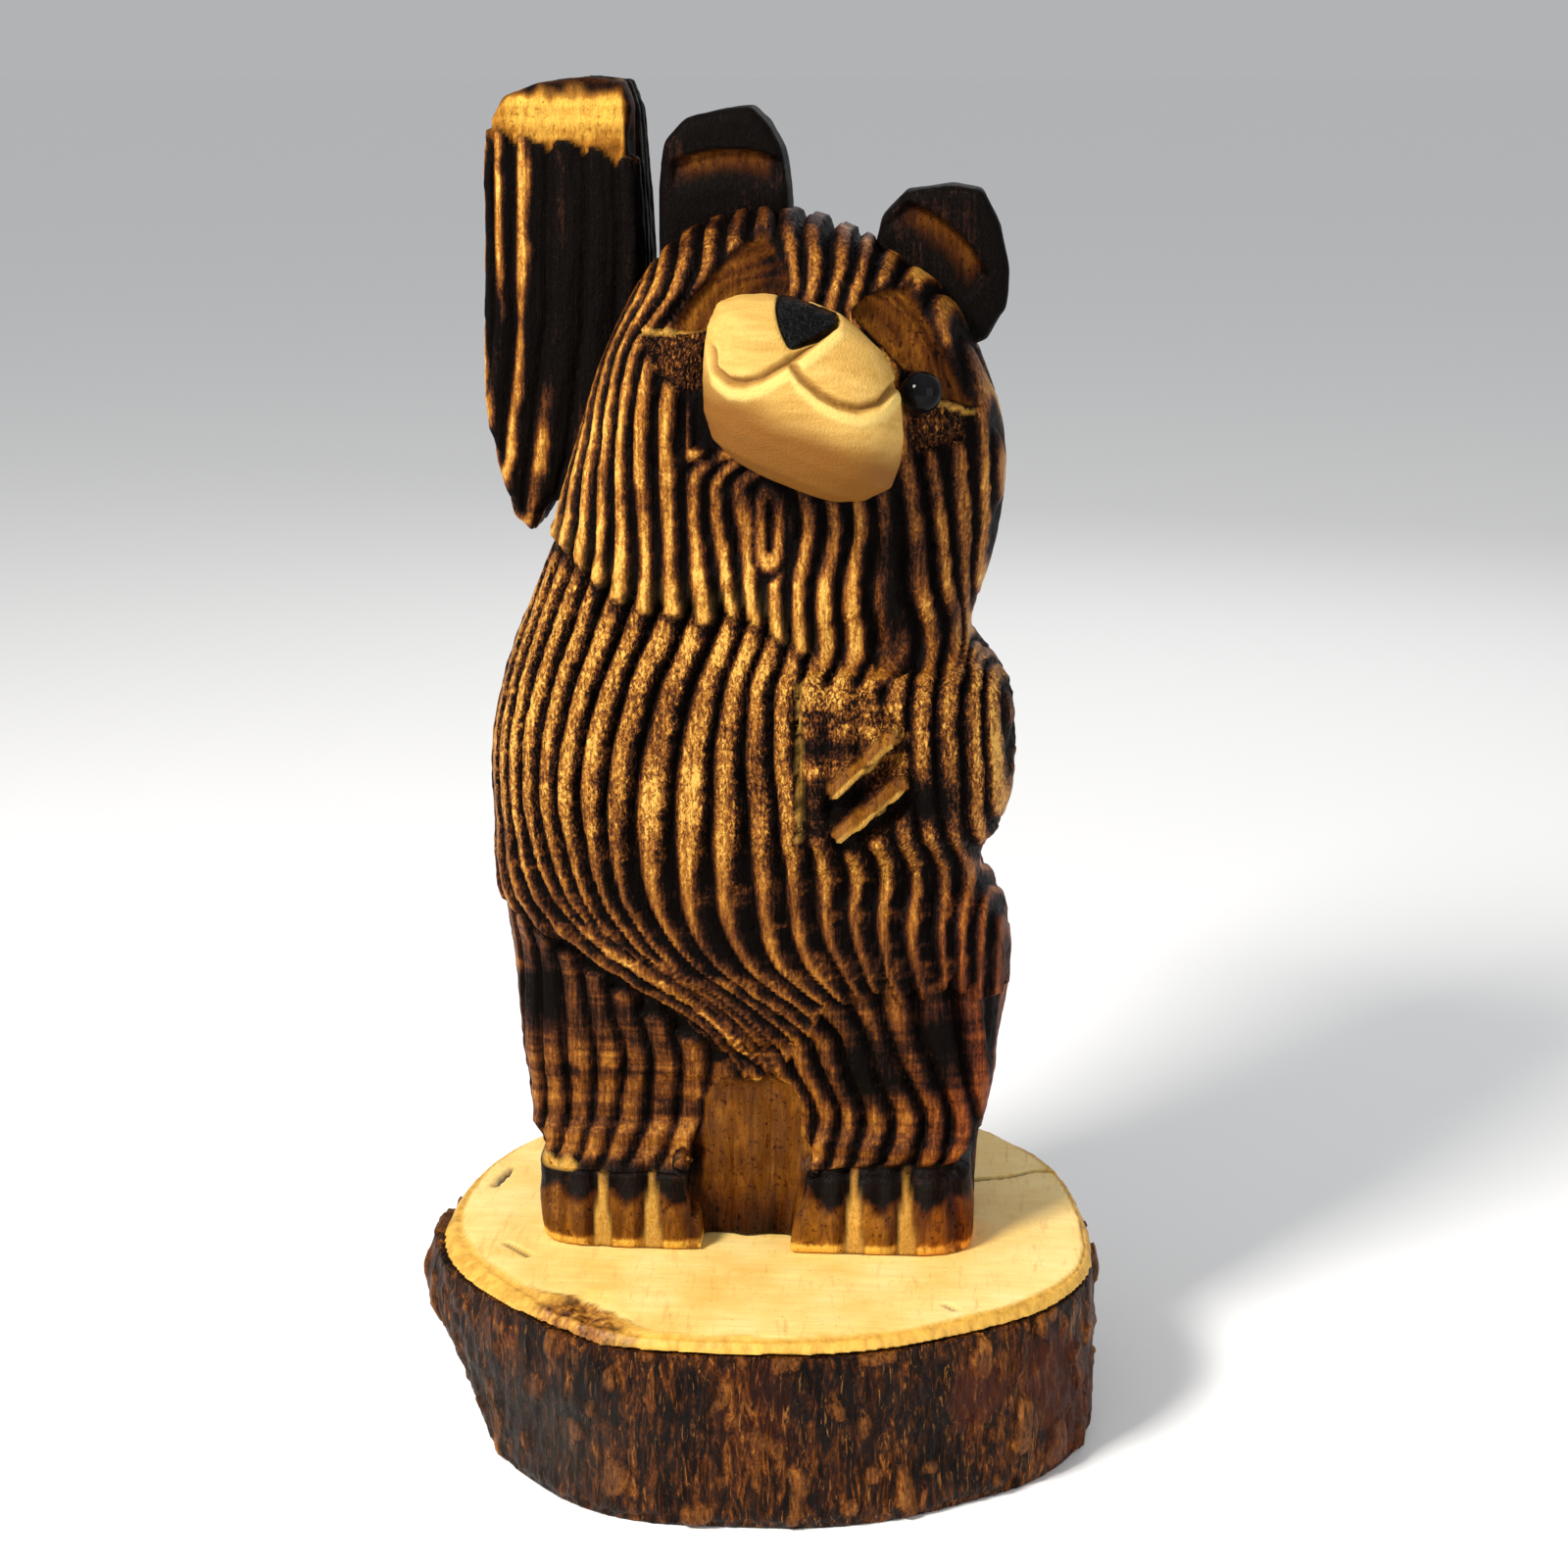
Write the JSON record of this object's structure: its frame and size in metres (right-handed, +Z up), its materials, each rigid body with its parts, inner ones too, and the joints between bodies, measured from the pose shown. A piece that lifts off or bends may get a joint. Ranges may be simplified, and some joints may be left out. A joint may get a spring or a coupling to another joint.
{
  "type": "carved wooden figurine",
  "caption": "Free-standing carved wooden bear on a tree slice with bark, one arm raised, burnt and brushed grain, pale muzzle.",
  "frame": {"origin": "middle of the tree slice's underside, on the surface that the figurine stands on", "axes": "+Z up, the bear faces -Y, +X to the viewer's right"},
  "size_m": [0.207, 0.197, 0.409],
  "materials": {
    "charred_wood": "burnt and wire-brushed, satin",
    "bare_wood": "sanded, oiled",
    "nose_black": "rough black paint with a glint",
    "eye_bead": "gloss",
    "slice_wood": "sawn and varnished",
    "bark": "varnished bark",
    "dowel_wood": "plain",
    "screw_steel": "zinc plated"
  },
  "bodies": {
    "root": {"body": "charred_wood", "raised_arm": "charred_wood", "left_ear": "charred_wood", "right_ear": "charred_wood", "muzzle": "bare_wood", "nose": "nose_black", "left_eye": "eye_bead", "right_eye": "eye_bead", "base_slice": "slice_wood", "base_bark": "bark", "arm_dowel_upper": "dowel_wood", "arm_dowel_lower": "dowel_wood", "left_ear_dowel": "dowel_wood", "right_ear_dowel": "dowel_wood", "muzzle_dowel_left": "dowel_wood", "muzzle_dowel_right": "dowel_wood", "base_screw_left": "screw_steel", "base_screw_right": "screw_steel"}
  },
  "joints": []
}
